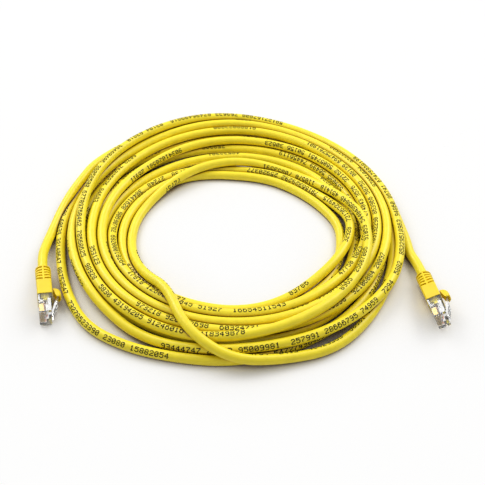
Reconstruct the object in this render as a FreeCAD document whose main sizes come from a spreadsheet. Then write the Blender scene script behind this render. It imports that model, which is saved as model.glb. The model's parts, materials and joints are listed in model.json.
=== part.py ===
"""Ethernet patch cable: two clear modular plugs in yellow snagless boots, on a wound cable.

Lengths are in millimetres and +Z is up. The cable lies on a table, its coil in the middle and
both plugs at the front. Each plug is built in a plug frame of its own: X runs from the boot's
back face towards the plug's nose, Y points to the latch side and Z runs across the contacts.
The origin is on the table, under the middle of the box round both plugs.
"""
import FreeCAD, Part
import math
import os
import re
import Sketcher

Vector = FreeCAD.Vector
Rotation = FreeCAD.Rotation
Placement = FreeCAD.Placement

SIZES = {
    # Cable and conductors
    "jacket_diameter": 5.5,
    "jacket_wall": 0.6,
    "core_diameter": 0.5,
    "core_play": 0.02,
    "wire_gap": 0.1,
    "bundle_gap": 0.08,
    "row_gap": 0.38,
    "jacket_trim": 0.2,
    "bundle_length": 3.0,
    # Plug body
    "plug_length": 21.46,
    "plug_width": 11.68,
    "rear_height": 7.6,
    "nose_height": 6.6,
    "nose_length": 9.6,
    "nose_bevel": 0.5,
    "shoulder_run": 0.6,
    "tip_wall": 0.6,
    "cavity_width": 8.4,
    "cavity_play": 0.15,
    "wire_play": 0.14,
    "fan_length": 5.0,
    # Contacts
    "contact_pitch": 1.02,
    "slot_width": 0.5,
    "blade_thickness": 0.3,
    "blade_length": 5.6,
    "blade_recess": 0.35,
    "blade_setback": 0.6,
    "blade_play": 0.1,
    "tine_length": 0.45,
    "tine_spacing": 1.6,
    # Clamp bars in the plug's belly
    "jacket_clamp_length": 3.4,
    "jacket_clamp_setback": 12.9,
    "wire_clamp_length": 1.7,
    "wire_clamp_setback": 7.4,
    "clamp_taper": 0.3,
    "clamp_recess": 0.15,
    "clamp_play": 0.05,
    # Latch
    "tab_width": 6.0,
    "tail_width": 3.25,
    "tab_thickness": 0.9,
    "tab_length": 13.9,
    "tab_angle": 17.0,
    "catch_distance": 7.0,
    "catch_height": 0.55,
    "hinge_setback": 1.3,
    "hinge_lift": 0.4,
    "barrel_radius": 0.6,
    "barrel_play": 0.06,
    # Boot
    "boot_length": 24.0,
    "boot_wall": 0.45,
    "boot_fit": 0.05,
    "boot_corner": 1.0,
    "boot_bulkhead": 0.6,
    "neck_diameter": 8.8,
    "neck_length": 8.0,
    "neck_flat": 0.35,
    "plug_reach": 12.5,
    "rib_start": 1.5,
    "rib_pitch": 2.6,
    "rib_slot": 1.2,
    "rib_depth": 1.15,
    "spine_width": 1.8,
    # Latch guard
    "guard_setback": 6.4,
    "guard_root": 0.5,
    "guard_gap": 0.25,
    "guard_reach": 7.0,
    "guard_height": 4.3,
    "guard_width": 7.0,
    "guard_wall": 0.6,
    "guard_mouth": 2.0,
    "guard_crown": 3.3,
    "guard_round": 1.3,
    # Places of the two plugs on the table: back of the boot, and turns in degrees
    "left_x": -114.1,
    "left_y": -28.4,
    "left_heading": 14.0,
    "left_pitch": 0.0,
    "left_roll": -8.0,
    "right_x": 102.8,
    "right_y": -32.0,
    "right_heading": 6.0,
    "right_pitch": 7.5,
    "right_roll": 24.0,
    # Coil
    "coil_x": -6.0,
    "coil_y": 13.0,
    "coil_radius": 103.4,
    "turn_gap": 0.46,
    "layer_gap": 0.46,
    "back_spread": 4.15,
    "front_spread": 0.7,
    "front_swell": 4.4,
    "turns_inward": 6.25,
    "leaving_angle": 150.0,
    # Straight runs at both ends of the two leads
    "lead_start": 9.0,
    "lead_end": 10.0,
}
CONTACTS = 8
RIBS = 5

# Formulas made of the sizes above, as text that is bound to the sheet
HALF = "(rear_height / 2)"
NOSE_TOP = "(nose_height - rear_height / 2)"
TIP = "(boot_length + plug_reach)"
REAR = "(boot_length + plug_reach - plug_length)"
SHOULDER = "(boot_length + plug_reach - nose_length)"
WIRE = "(contact_pitch - wire_gap)"
ROW = "((contact_pitch - wire_gap + row_gap) / 2)"
RIBBON = "(contact_pitch * 4 + wire_play)"
CAVITY = "(jacket_diameter / 2 + cavity_play)"
JACKET_END = "(boot_length + plug_reach - nose_length - shoulder_run / 2 - jacket_trim)"
CAVITY_END = "(boot_length + plug_reach - nose_length - shoulder_run / 2)"
FAN_END = "(boot_length + plug_reach - nose_length - shoulder_run / 2 + fan_length)"
BOOT_TOP = "(rear_height / 2 + boot_fit + boot_wall)"
BOOT_SIDE = "(plug_width / 2 + boot_fit + boot_wall)"
BLOCK = "(boot_length + plug_reach - plug_length - boot_fit - boot_bulkhead)"
BORE = "(jacket_diameter / 2 + boot_fit)"

doc = FreeCAD.newDocument("patch_cable")
sheet = doc.addObject("Spreadsheet::Sheet", "Sizes")
for row, (name, number) in enumerate(SIZES.items(), 1):
    sheet.set("A%d" % row, name)
    sheet.set("B%d" % row, str(number))
    sheet.setAlias("B%d" % row, name)
doc.recompute()


def size(name):
    """Value of one cell of the sheet."""
    return float(sheet.get(name))


def cells(formula):
    """The formula with every size written as a reference to its cell."""
    return re.sub(r"[a-z_]+", lambda word: "Sizes." + word.group() if word.group() in SIZES else word.group(),
                  formula)


def value(formula):
    """Number that a formula gives."""
    return float(sheet.evalExpression(cells(formula)))


def bind(thing, prop, formula):
    """Ties a property or a sketch constraint to the sheet."""
    thing.setExpression(prop, cells(formula))


def new_body(label):
    body = doc.addObject("PartDesign::Body", label)
    body.Label = label
    return body


def new_sketch(body, name, role, offset="0"):
    """Sketch on an origin plane of its body, moved along the plane's normal."""
    sketch = body.newObject("Sketcher::SketchObject", name)
    plane = [item for item in body.Origin.OriginFeatures if item.Role == role][0]
    sketch.AttachmentSupport = (plane, [""])
    sketch.MapMode = "FlatFace"
    bind(sketch, "AttachmentOffset.Base.z", offset)
    return sketch


def arc_between(start, end, radius):
    """Arc from start to end. Its centre is to the left, or to the right for a negative radius."""
    chord = end - start
    middle = (start + end) * 0.5
    normal = Vector(-chord.y, chord.x, 0).normalize()
    reach = math.sqrt(max(radius * radius - chord.Length ** 2 / 4, 0))
    centre = middle + normal * math.copysign(reach, radius)
    first, last = (start, end) if radius > 0 else (end, start)
    circle = Part.Circle(centre, Vector(0, 0, 1), abs(radius))
    return Part.ArcOfCircle(circle, math.atan2(first.y - centre.y, first.x - centre.x),
                            math.atan2(last.y - centre.y, last.x - centre.x))


def draw(sketch, corners):
    """Closed outline through corners (x, y) or (x, y, radius), all formulas.

    A radius makes the edge that starts at that corner an arc, and its sign says on which side
    the centre is, as arc_between does.
    """
    points = [Vector(value(corner[0]), value(corner[1]), 0) for corner in corners]
    count = len(points)
    ends = []
    for index, corner in enumerate(corners):
        start = points[index]
        end = points[(index + 1) % count]
        if len(corner) == 3:
            edge = sketch.addGeometry(arc_between(start, end, value(corner[2])), False)
            number = sketch.addConstraint(Sketcher.Constraint("Radius", edge, abs(value(corner[2]))))
            bind(sketch, "Constraints[%d]" % number, "abs(%s)" % corner[2])
            ends.append((edge, 1, 2) if value(corner[2]) > 0 else (edge, 2, 1))
        else:
            ends.append((sketch.addGeometry(Part.LineSegment(start, end), False), 1, 2))
    for index, (edge, first, last) in enumerate(ends):
        after = ends[(index + 1) % count]
        sketch.addConstraint(Sketcher.Constraint("Coincident", edge, last, after[0], after[1]))
        for direction, place, formula in (("DistanceX", points[index].x, corners[index][0]),
                                          ("DistanceY", points[index].y, corners[index][1])):
            number = sketch.addConstraint(Sketcher.Constraint(direction, -1, 1, edge, first, place))
            bind(sketch, "Constraints[%d]" % number, formula)


def draw_circle(sketch, x, y, radius):
    centre = Vector(value(x), value(y), 0)
    edge = sketch.addGeometry(Part.Circle(centre, Vector(0, 0, 1), value(radius)), False)
    for kind, formula in (("DistanceX", x), ("DistanceY", y)):
        number = sketch.addConstraint(Sketcher.Constraint(kind, -1, 1, edge, 3, value(formula)))
        bind(sketch, "Constraints[%d]" % number, formula)
    number = sketch.addConstraint(Sketcher.Constraint("Radius", edge, value(radius)))
    bind(sketch, "Constraints[%d]" % number, radius)


def rectangle(x0, x1, y0, y1):
    return [(x0, y0), (x1, y0), (x1, y1), (x0, y1)]


def rounded(half_x, half_y, radius):
    """Corners of a rectangle about the origin with rounded corners, anticlockwise."""
    near_x = "(%s - %s)" % (half_x, radius)
    near_y = "(%s - %s)" % (half_y, radius)
    return [(near_x, "-%s" % half_y, radius), (half_x, "-%s" % near_y),
            (half_x, near_y, radius), (near_x, half_y),
            ("-%s" % near_x, half_y, radius), ("-%s" % half_x, near_y),
            ("-%s" % half_x, "-%s" % near_y, radius), ("-%s" % near_x, "-%s" % half_y)]


def solid_change(body, before, feature, grows):
    """Stops the build when a feature adds or cuts nothing."""
    after = body.Shape.Volume
    if (after - before) * (1 if grows else -1) <= 1e-4:
        raise RuntimeError("%s in %s changes nothing" % (feature.Name, body.Label))


def pad(body, sketch, length, symmetric=False, name="Pad"):
    before = body.Shape.Volume if body.Tip else 0.0
    feature = body.newObject("PartDesign::Pad", name)
    feature.Profile = sketch
    bind(feature, "Length", length)
    if symmetric:
        feature.SideType = "Symmetric"
    doc.recompute()
    solid_change(body, before, feature, True)
    return feature


def pocket(body, sketch, length, forward=False, symmetric=False, name="Pocket"):
    """Cuts against the sketch's normal, or along it when forward."""
    before = body.Shape.Volume
    feature = body.newObject("PartDesign::Pocket", name)
    feature.Profile = sketch
    bind(feature, "Length", length)
    feature.Reversed = forward
    if symmetric:
        feature.SideType = "Symmetric"
    doc.recompute()
    solid_change(body, before, feature, False)
    return feature


def contact_place(number):
    """Formula of a contact's place across the plug, for contacts 0 to 7."""
    return "(contact_pitch * %.1f)" % (number - (CONTACTS - 1) / 2)


def build_housing(side):
    """Clear plug body with its cable cavity, wire channel, contact slots and clamp windows."""
    body = new_body(side + "_plug_housing")
    profile = new_sketch(body, "HousingProfile", "XY_Plane")
    draw(profile, [(REAR, "-" + HALF), ("%s - nose_bevel" % TIP, "-" + HALF),
                   (TIP, "nose_bevel - " + HALF), (TIP, NOSE_TOP), (SHOULDER, NOSE_TOP),
                   ("%s - shoulder_run" % SHOULDER, HALF), (REAR, HALF)])
    pad(body, profile, "plug_width", symmetric=True)

    cavity = new_sketch(body, "CableCavity", "YZ_Plane", REAR)
    draw(cavity, rectangle("-" + CAVITY, CAVITY, "-cavity_width / 2", "cavity_width / 2"))
    pocket(body, cavity, "%s - %s" % (CAVITY_END, REAR), forward=True)

    fan = new_sketch(body, "WireFan", "YZ_Plane", CAVITY_END)
    level = "(%s + (%s + wire_play) / 2)" % (ROW, WIRE)
    draw(fan, rectangle("-" + level, level, "-" + RIBBON, RIBBON))
    pocket(body, fan, "fan_length", forward=True)

    channel = new_sketch(body, "WireChannel", "YZ_Plane", FAN_END)
    draw(channel, rectangle("-" + level, "(%s + wire_play) / 2 - %s" % (WIRE, ROW), "-" + RIBBON, RIBBON))
    pocket(body, channel, "%s - tip_wall - %s" % (TIP, FAN_END), forward=True)

    slots = new_sketch(body, "ContactSlots", "XZ_Plane", HALF)
    for number in range(CONTACTS):
        place = contact_place(number)
        draw(slots, rectangle("%s - blade_setback - blade_length - blade_play" % TIP,
                              "%s - blade_setback + blade_play" % TIP,
                              "%s - slot_width / 2" % place, "%s + slot_width / 2" % place))
    pocket(body, slots, "%s - %s + wire_play" % (HALF, level))

    for name in ("jacket_clamp", "wire_clamp"):
        window = new_sketch(body, name.title().replace("_", "") + "Window", "XZ_Plane", HALF)
        front = "(%s - %s_setback)" % (TIP, name)
        draw(window, rectangle("%s - %s_length" % (front, name), front, "-" + RIBBON, RIBBON))
        inner = CAVITY if name == "jacket_clamp" else level
        pocket(body, window, "%s - %s + wire_play" % (HALF, inner))

    groove = new_sketch(body, "LatchGroove", "XY_Plane")
    draw_circle(groove, "%s - hinge_setback" % TIP, "%s + hinge_lift" % NOSE_TOP, "barrel_radius + barrel_play")
    pocket(body, groove, "plug_width * 2", symmetric=True)
    return body


def build_tab(side):
    """Springy latch, drawn flat along -X from its bending line, which is the body's origin."""
    body = new_body(side + "_locking_tab")
    front = new_sketch(body, "CatchProfile", "XY_Plane")
    draw(front, [("0", "-tab_thickness / 2"), ("0", "tab_thickness / 2"),
                 ("-catch_distance", "tab_thickness / 2 + catch_height"),
                 ("-catch_distance", "-tab_thickness / 2")])
    pad(body, front, "tab_width", symmetric=True)
    tail = new_sketch(body, "TailProfile", "XY_Plane")
    draw(tail, [("-catch_distance + tab_thickness", "-tab_thickness / 2"),
                ("-catch_distance + tab_thickness", "tab_thickness / 2"),
                ("-tab_length + tab_thickness / 3", "tab_thickness / 2"),
                ("-tab_length", "tab_thickness / 6"), ("-tab_length", "-tab_thickness / 6"),
                ("-tab_length + tab_thickness / 3", "-tab_thickness / 2")])
    pad(body, tail, "tail_width", symmetric=True)
    barrel = new_sketch(body, "BarrelProfile", "XY_Plane")
    draw_circle(barrel, "0", "0", "barrel_radius")
    pad(body, barrel, "tab_width", symmetric=True)
    return body


def build_blades(side):
    """Eight gold-plated contacts, each with two tines that pierce its wire."""
    body = new_body(side + "_contact_blades")
    body.AllowCompound = True
    profile = new_sketch(body, "BladeProfile", "XY_Plane", contact_place(0))
    front = "(%s - blade_setback)" % TIP
    back = "(%s - blade_setback - blade_length)" % TIP
    edge = "(blade_recess - %s)" % HALF
    root = "(-%s - %s / 2)" % (ROW, WIRE)
    tine = "(tine_length - %s - %s / 2)" % (ROW, WIRE)
    draw(profile, [(back, edge), (front, edge), (front, root),
                   ("%s - tine_spacing / 2" % front, root), ("%s - tine_spacing * 0.75" % front, tine),
                   ("%s - tine_spacing" % front, root),
                   ("%s + tine_spacing" % back, root), ("%s + tine_spacing * 0.75" % back, tine),
                   ("%s + tine_spacing / 2" % back, root), (back, root)])
    blade = pad(body, profile, "blade_thickness", symmetric=True)
    pattern = body.newObject("PartDesign::LinearPattern", "Contacts")
    pattern.Originals = [blade]
    pattern.Direction = ([item for item in body.Origin.OriginFeatures if item.Role == "Z_Axis"][0], [""])
    pattern.Mode = "Spacing"
    pattern.Occurrences = CONTACTS
    bind(pattern, "Offset", "contact_pitch")
    body.Tip = pattern
    doc.recompute()
    return body


def build_clamp(side, name, inner):
    """Bar that is pressed into a window of the plug's belly, down to what it holds."""
    body = new_body("%s_%s" % (side, name))
    profile = new_sketch(body, "ClampProfile", "XY_Plane")
    front = "(%s - %s_setback - clamp_play)" % (TIP, name)
    back = "(%s - %s_setback - %s_length + clamp_play)" % (TIP, name, name)
    draw(profile, [(back, "clamp_recess - " + HALF), (front, "clamp_recess - " + HALF),
                   (front, "-%s - clamp_taper" % inner), ("%s - clamp_taper" % front, "-%s" % inner),
                   ("%s + clamp_taper" % back, "-%s" % inner), (back, "-%s - clamp_taper" % inner)])
    pad(body, profile, "(%s - clamp_play) * 2" % RIBBON, symmetric=True)
    return body


def build_jacket_end(side):
    """End of the cable's jacket, from the boot's back face into the plug."""
    body = new_body(side + "_jacket_end")
    ring = new_sketch(body, "JacketRing", "YZ_Plane")
    draw_circle(ring, "0", "0", "jacket_diameter / 2")
    draw_circle(ring, "0", "0", "jacket_diameter / 2 - jacket_wall")
    pad(body, ring, JACKET_END)
    return body


def build_boot(side):
    """Strain relief: a slotted round neck that flares into a sleeve over the plug's back."""
    body = new_body(side + "_strain_relief_boot")
    neck_half = "(neck_diameter / 2)"
    neck_round = "((neck_diameter - neck_flat) / 2)"
    neck = new_sketch(body, "Neck", "YZ_Plane")
    draw(neck, rounded(neck_half, neck_half, neck_round))
    pad(body, neck, "neck_length")
    start = new_sketch(body, "FlareStart", "YZ_Plane", "neck_length")
    draw(start, rounded(neck_half, neck_half, neck_round))
    end = new_sketch(body, "FlareEnd", "YZ_Plane", BLOCK)
    draw(end, rounded(BOOT_TOP, BOOT_SIDE, "boot_corner"))
    before = body.Shape.Volume
    flare = body.newObject("PartDesign::AdditiveLoft", "Flare")
    flare.Profile = start
    flare.Sections = [end]
    flare.Ruled = True
    doc.recompute()
    solid_change(body, before, flare, True)
    sleeve = new_sketch(body, "Sleeve", "YZ_Plane", BLOCK)
    draw(sleeve, rounded(BOOT_TOP, BOOT_SIDE, "boot_corner"))
    pad(body, sleeve, "boot_length - %s" % BLOCK)

    seat = new_sketch(body, "PlugSeat", "YZ_Plane", "boot_length")
    half = "(%s + boot_fit)" % HALF
    side_half = "(plug_width / 2 + boot_fit)"
    draw(seat, rectangle("-" + half, half, "-" + side_half, side_half))
    pocket(body, seat, "plug_length - plug_reach + boot_fit")
    bore = new_sketch(body, "CableBore", "YZ_Plane")
    draw_circle(bore, "0", "0", BORE)
    pocket(body, bore, "boot_length", forward=True)

    floor = "(neck_diameter / 2 - rib_depth)"
    spine = "(spine_width / 2)"
    far = BOOT_SIDE
    arc_end = "sqrt(%s * %s - %s * %s)" % (floor, floor, spine, spine)
    for level in range(RIBS):
        slots = new_sketch(body, "RibSlots", "YZ_Plane", "rib_start + rib_pitch * %d" % level)
        for sign_t in ("", "-"):
            for sign_w in ("", "-"):
                flip = "-" if sign_t == sign_w else ""
                draw(slots, [(sign_t + arc_end, sign_w + spine), (sign_t + far, sign_w + spine),
                             (sign_t + far, sign_w + far), (sign_t + spine, sign_w + far),
                             (sign_t + spine, sign_w + arc_end, flip + floor)])
        pocket(body, slots, "rib_slot", forward=True)
    return body


def build_guard(side):
    """Hood over the latch's tail, drawn from its bending line at its back."""
    body = new_body(side + "_latch_guard")
    under = "(-guard_root / 2)"
    top = "(guard_height - guard_gap - guard_root / 2)"
    shell = new_sketch(body, "GuardProfile", "XY_Plane")
    draw(shell, [("guard_root", under), ("guard_reach", "guard_mouth"), ("guard_reach", top),
                 ("guard_crown", top, "guard_crown + guard_root"), ("-guard_root", under)])
    hood = pad(body, shell, "guard_width", symmetric=True)
    rounding = body.newObject("PartDesign::Fillet", "GuardRound")
    rounding.Base = (hood, crown_edges(hood.Shape))
    bind(rounding, "Radius", "guard_round")
    doc.recompute()
    inside = new_sketch(body, "GuardInside", "YZ_Plane", "guard_reach")
    half = "(guard_width / 2 - guard_wall)"
    inner_top = "(%s - guard_wall)" % top
    inner_round = "(guard_round - guard_wall / 2)"
    draw(inside, [("-guard_height", "-" + half), ("%s - %s" % (inner_top, inner_round), "-" + half, inner_round),
                  (inner_top, "%s - %s" % (inner_round, half)), (inner_top, "%s - %s" % (half, inner_round),
                                                                 inner_round),
                  ("%s - %s" % (inner_top, inner_round), half), ("-guard_height", half)])
    pocket(body, inside, "guard_reach - guard_crown")
    back = new_sketch(body, "GuardBack", "XY_Plane")
    draw(back, [("guard_root + guard_wall", "-guard_height"), ("guard_crown + guard_wall", "-guard_height"),
                ("guard_crown + guard_wall", "%s - %s" % (inner_top, inner_round)),
                ("guard_root + guard_wall", "guard_root")])
    pocket(body, back, "%s * 2" % half, symmetric=True)
    return body


def crown_edges(shape):
    """Names of the edges between the hood's flanks and its curved top."""
    names = []
    for number, edge in enumerate(shape.Edges, 1):
        middle = edge.valueAt((edge.FirstParameter + edge.LastParameter) / 2)
        level = abs(edge.BoundBox.ZLength) < 1e-6
        if level and middle.y > value("guard_mouth + guard_wall") and middle.x < value("guard_reach") - 1e-6:
            names.append("Edge%d" % number)
    return names


def tangent_path(points, label):
    """Straight runs joined by arcs, as large as two runs allow, and the smallest arc's radius."""
    edges = []
    radii = []
    here = points[0]
    for before, corner, after in zip(points, points[1:], points[2:]):
        back = (before - corner).normalize()
        ahead = (after - corner).normalize()
        half_turn = (math.pi - back.getAngle(ahead)) / 2
        trim = 0.45 * min((before - corner).Length, (after - corner).Length)
        start = corner + back * trim
        end = corner + ahead * trim
        radius = trim / math.tan(half_turn)
        bisector = (back + ahead).normalize()
        centre = corner + bisector * math.hypot(radius, trim)
        edges.append(Part.LineSegment(here, start).toShape())
        edges.append(Part.Arc(start, centre - bisector * radius, end).toShape())
        radii.append(radius)
        here = end
    edges.append(Part.LineSegment(here, points[-1]).toShape())
    if label:
        print("%s: radii %s, length %.1f" % (label, ", ".join("%.0f" % radius for radius in radii),
                                             sum(edge.Length for edge in edges)))
    return Part.Wire(edges)


def tube(path, radius):
    """Round solid along a path."""
    first = path.Edges[0]
    start = first.valueAt(first.FirstParameter)
    ring = Part.Wire(Part.Circle(start, first.tangentAt(first.FirstParameter), radius).toShape())
    return path.makePipeShell([ring], True, False)


def check_volume(shape, path, radius, label):
    """Compares a tube's volume with its section times its length."""
    expected = math.pi * radius ** 2 * path.Length
    if abs(shape.Volume / expected - 1) > 0.01:
        raise RuntimeError("%s holds %.1f, not %.1f" % (label, shape.Volume, expected))


def wire_route(number):
    """Middle line of one conductor in the plug frame: bundled, fanned out, then in its channel.

    Both rows fan out level, between two places given as shares of the fan's length, and the
    upper row comes down between the wires of the lower row after that.
    """
    fan_start, fan_stop, level_stop = 0.24, 0.6, 0.96
    column = number // 2 - 1.5
    upper = number % 2 == 0
    row = value(ROW)
    level = row if upper else -row
    bundled = column * (value(WIRE) + size("bundle_gap"))
    place = value(contact_place(number))
    start = value(JACKET_END)
    fan = size("fan_length")
    points = [Vector(start - size("bundle_length"), level, bundled),
              Vector(start + fan_start * fan, level, bundled), Vector(start + fan_stop * fan, level, place)]
    if upper:
        points.append(Vector(start + level_stop * fan, -row, place))
    points.append(Vector(value(TIP) - size("tip_wall") - size("wire_play"), -row, place))
    return points


def build_wires(side):
    """Eight insulated conductors, and their copper cores as one group."""
    outer = value(WIRE) / 2
    inner = size("core_diameter") / 2
    cores = []
    made = []
    for number in range(CONTACTS):
        path = tangent_path(wire_route(number), "")
        skin = tube(path, outer)
        check_volume(skin, path, outer, "wire")
        wire = doc.addObject("Part::Feature", "%s_wire_%d" % (side, number + 1))
        wire.Label = "%s_wire_%d" % (side, number + 1)
        wire.Shape = skin.cut(tube(path, inner + size("core_play")))
        cores.append(tube(path, inner))
        made.append(wire)
    group = doc.addObject("Part::Feature", side + "_copper_cores")
    group.Label = side + "_copper_cores"
    group.Shape = Part.Compound(cores)
    return made + [group]


def build_plug(side):
    """All pieces of one plug, with the frame that each is drawn in."""
    clamp_inner = {"jacket_clamp": "(jacket_diameter / 2 + clamp_play / 2)",
                   "wire_clamp": "(%s + %s / 2 + clamp_play / 2)" % (ROW, WIRE)}
    plug_frame = Placement()
    tab_frame = Placement(Vector(value("%s - hinge_setback" % TIP), value("%s + hinge_lift" % NOSE_TOP), 0),
                          Rotation(Vector(0, 0, 1), -size("tab_angle")))
    guard_frame = Placement(Vector(value("boot_length - guard_setback"),
                                   value("%s + guard_gap + guard_root / 2" % BOOT_TOP), 0), Rotation())
    pieces = [(build_housing(side), plug_frame), (build_tab(side), tab_frame),
              (build_blades(side), plug_frame), (build_jacket_end(side), plug_frame),
              (build_boot(side), plug_frame), (build_guard(side), guard_frame)]
    pieces += [(build_clamp(side, name, inner), plug_frame) for name, inner in clamp_inner.items()]
    pieces += [(piece, plug_frame) for piece in build_wires(side)]
    return pieces


def plug_rotation(side):
    """Turns a plug frame: rolled about its own axis, nose pitched up, then headed to the front."""
    roll = Rotation(Vector(1, 0, 0), size(side + "_roll"))
    pitch = Rotation(Vector(0, 1, 0), -size(side + "_pitch"))
    heading = Rotation(Vector(0, 0, 1), size(side + "_heading") - 90)
    return heading.multiply(pitch).multiply(roll)


def place_plug(side, pieces):
    """Stands a plug on the table and gives back the place of its frame."""
    turn = plug_rotation(side)
    lowest = 0.0
    for piece, local in pieces:
        if piece.isDerivedFrom("PartDesign::Body"):
            piece.Placement = Placement(Vector(0, 0, 0), turn).multiply(local)
            lowest = min(lowest, piece.Shape.optimalBoundingBox(False).ZMin)
    place = Placement(Vector(size(side + "_x"), size(side + "_y"), -lowest), turn)
    for piece, local in pieces:
        piece.Placement = place.multiply(local)
    return place


def coil_state(turn):
    """Point on the coil's middle line after a number of turns from the right lead."""
    diameter = size("jacket_diameter")
    middle = size("turns_inward")
    if turn < middle - 0.25:
        depth, climb = turn, 0.0
    elif turn < middle + 0.25:
        depth = middle - 0.125 - 2 * (turn - middle) ** 2
        climb = (1 - math.cos(2 * math.pi * (turn - middle + 0.25))) / 2
    else:
        depth, climb = 2 * middle - turn, 1.0
    angle = 2 * math.pi * turn
    back = ((1 + math.sin(angle)) / 2) ** 2
    front = ((1 - math.sin(angle)) / 2) ** 2
    pitch = diameter + size("turn_gap") + size("back_spread") * back + size("front_spread") * front
    radius = size("coil_radius") + size("front_swell") * front - depth * pitch
    height = diameter / 2 + climb * (diameter + size("layer_gap"))
    return Vector(size("coil_x") + radius * math.cos(angle), size("coil_y") + radius * math.sin(angle), height)


def coil_heading(turn):
    step = 1e-5
    return (coil_state(turn + step) - coil_state(turn - step)).normalize()


def biarc(start, start_heading, end, end_heading):
    """Two arcs that join two points and keep both headings."""
    chord = end - start
    total = start_heading + end_heading
    down = total.dot(total) - 4
    across = chord.dot(total)
    reach = (across - math.sqrt(across ** 2 - chord.dot(chord) * down)) / down
    reach = reach if reach > 0 else (across + math.sqrt(across ** 2 - chord.dot(chord) * down)) / down
    first = start + start_heading * reach
    last = end - end_heading * reach
    joint = (first + last) * 0.5
    return [arc_to(start, first, joint), arc_to(joint, last, end)]


def arc_to(start, corner, end):
    """Arc from start to end that is tangent to the lines from both to the corner."""
    middle = (start + end) * 0.5
    angle = (corner - start).getAngle(end - start)
    top = middle + (corner - middle) * (math.tan(angle / 2) / math.tan(angle))
    return Part.Arc(start, top, end).toShape()


def coil_path():
    """Middle line of the coil from the right lead to the left lead, with a straight bit at both ends."""
    last = 2 * size("turns_inward") - 0.5 + size("leaving_angle") / 360
    last = last if last <= 2 * size("turns_inward") else last - 1
    quarters = [number / 4 for number in range(int(last * 4) + 1)]
    stops = quarters + [last] if last - quarters[-1] > 0.1 else quarters[:-1] + [last]
    lead = size("jacket_diameter")
    edges = [Part.LineSegment(coil_state(0) - coil_heading(0) * lead, coil_state(0)).toShape()]
    for before, after in zip(stops, stops[1:]):
        edges += biarc(coil_state(before), coil_heading(before), coil_state(after), coil_heading(after))
    edges.append(Part.LineSegment(coil_state(last), coil_state(last) + coil_heading(last) * lead).toShape())
    return Part.Wire(edges)


def sample(path, step):
    """Points along a path, about one step apart."""
    points = []
    for edge in path.Edges:
        count = max(2, int(edge.Length / step))
        points += edge.discretize(Number=count)[:-1]
    return points


def least_gap(points, others, diameter, skip):
    """Least gap between round tubes along two rows of points; near neighbours in a row are skipped."""
    cell = 2 * diameter
    table = {}
    for index, point in enumerate(others):
        key = (int(point.x // cell), int(point.y // cell))
        table.setdefault(key, []).append((index, point))
    best = 1e9
    for index, point in enumerate(points):
        column = int(point.x // cell)
        line = int(point.y // cell)
        for key in [(column + a, line + b) for a in (-1, 0, 1) for b in (-1, 0, 1)]:
            for other, place in table.get(key, []):
                if skip and abs(other - index) < skip:
                    continue
                best = min(best, point.distanceToPoint(place))
    return best - diameter


def build_cable(left_place, right_place):
    """The coil as one unbroken tube, and the two leads that join it to the boots."""
    radius = size("jacket_diameter") / 2
    coil = coil_path()
    right_end = coil.Edges[0].Vertexes[0].Point
    left_end = coil.Edges[-1].Vertexes[-1].Point
    right_heading = (coil.Edges[0].Vertexes[0].Point - coil.Edges[0].Vertexes[1].Point).normalize()
    left_heading = (coil.Edges[-1].Vertexes[-1].Point - coil.Edges[-1].Vertexes[0].Point).normalize()
    left_boot = left_place.Base
    left_axis = left_place.Rotation.multVec(Vector(1, 0, 0))
    right_boot = right_place.Base
    right_axis = right_place.Rotation.multVec(Vector(1, 0, 0))
    start = size("lead_start")
    stop = size("lead_end")
    right_points = [right_end, right_end + right_heading * start, Vector(98.6, -12.0, radius + 0.2),
                    right_boot - right_axis * stop, right_boot]
    left_points = [left_end, left_end + left_heading * start, Vector(-108.6, 38.0, radius + 3.6),
                   Vector(-112.9, 23.5, radius + 1.3), Vector(-115.4, 8.5, radius + 0.15),
                   Vector(-116.8, -6.0, radius + 1.2), left_boot - left_axis * stop, left_boot]
    paths = {"coil": coil, "lead_right": tangent_path(right_points, "lead_right"),
             "lead_left": tangent_path(left_points, "lead_left")}
    made = []
    for label, path in paths.items():
        shape = tube(path, radius)
        check_volume(shape, path, radius, label)
        piece = doc.addObject("Part::Feature", label)
        piece.Label = label
        piece.Shape = shape
        made.append((piece, Placement()))
    points = sample(coil, 2.0)
    print("coil: length %.0f, least gap to itself %.2f" % (coil.Length, least_gap(points, points, radius * 2, 12)))
    for label in ("lead_left", "lead_right"):
        lead = sample(paths[label], 1.0)
        away = [point for point in points if min(point.distanceToPoint(left_end),
                                                 point.distanceToPoint(right_end)) > 16]
        print("%s: least gap to the coil %.2f" % (label, least_gap(lead, away, radius * 2, 0)))
    return made


def centre_origin(pieces, plug_pieces):
    """Moves everything so that the origin is under the middle of the box round both plugs."""
    box = FreeCAD.BoundBox()
    for piece in plug_pieces:
        box.add(piece.Shape.optimalBoundingBox(False))
    shift = Vector(-box.Center.x, -box.Center.y, 0)
    print("table frame moved by %.3f, %.3f" % (shift.x, shift.y))
    for piece in pieces:
        piece.Placement = Placement(shift, Rotation()).multiply(piece.Placement)


def export(pieces):
    """Checks every object, then writes one file for each piece."""
    doc.recompute()
    for thing in doc.Objects:
        if "Invalid" in thing.State or "Error" in thing.State:
            raise RuntimeError("%s failed: %s" % (thing.Label, thing.State))
    os.makedirs("parts", exist_ok=True)
    for piece in pieces:
        if piece.Shape.isNull() or not piece.Shape.isValid():
            raise RuntimeError("%s has no valid shape" % piece.Label)
        piece.Shape.exportStep("parts/%s.step" % piece.Label)
    print("%d pieces written" % len(pieces))


def main():
    plugs = {side: build_plug(side) for side in ("left", "right")}
    places = {side: place_plug(side, pieces) for side, pieces in plugs.items()}
    cable = build_cable(places["left"], places["right"])
    plug_pieces = [piece for pieces in plugs.values() for piece, local in pieces]
    pieces = plug_pieces + [piece for piece, local in cable]
    centre_origin(pieces, plug_pieces)
    export(pieces)


main()
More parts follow.
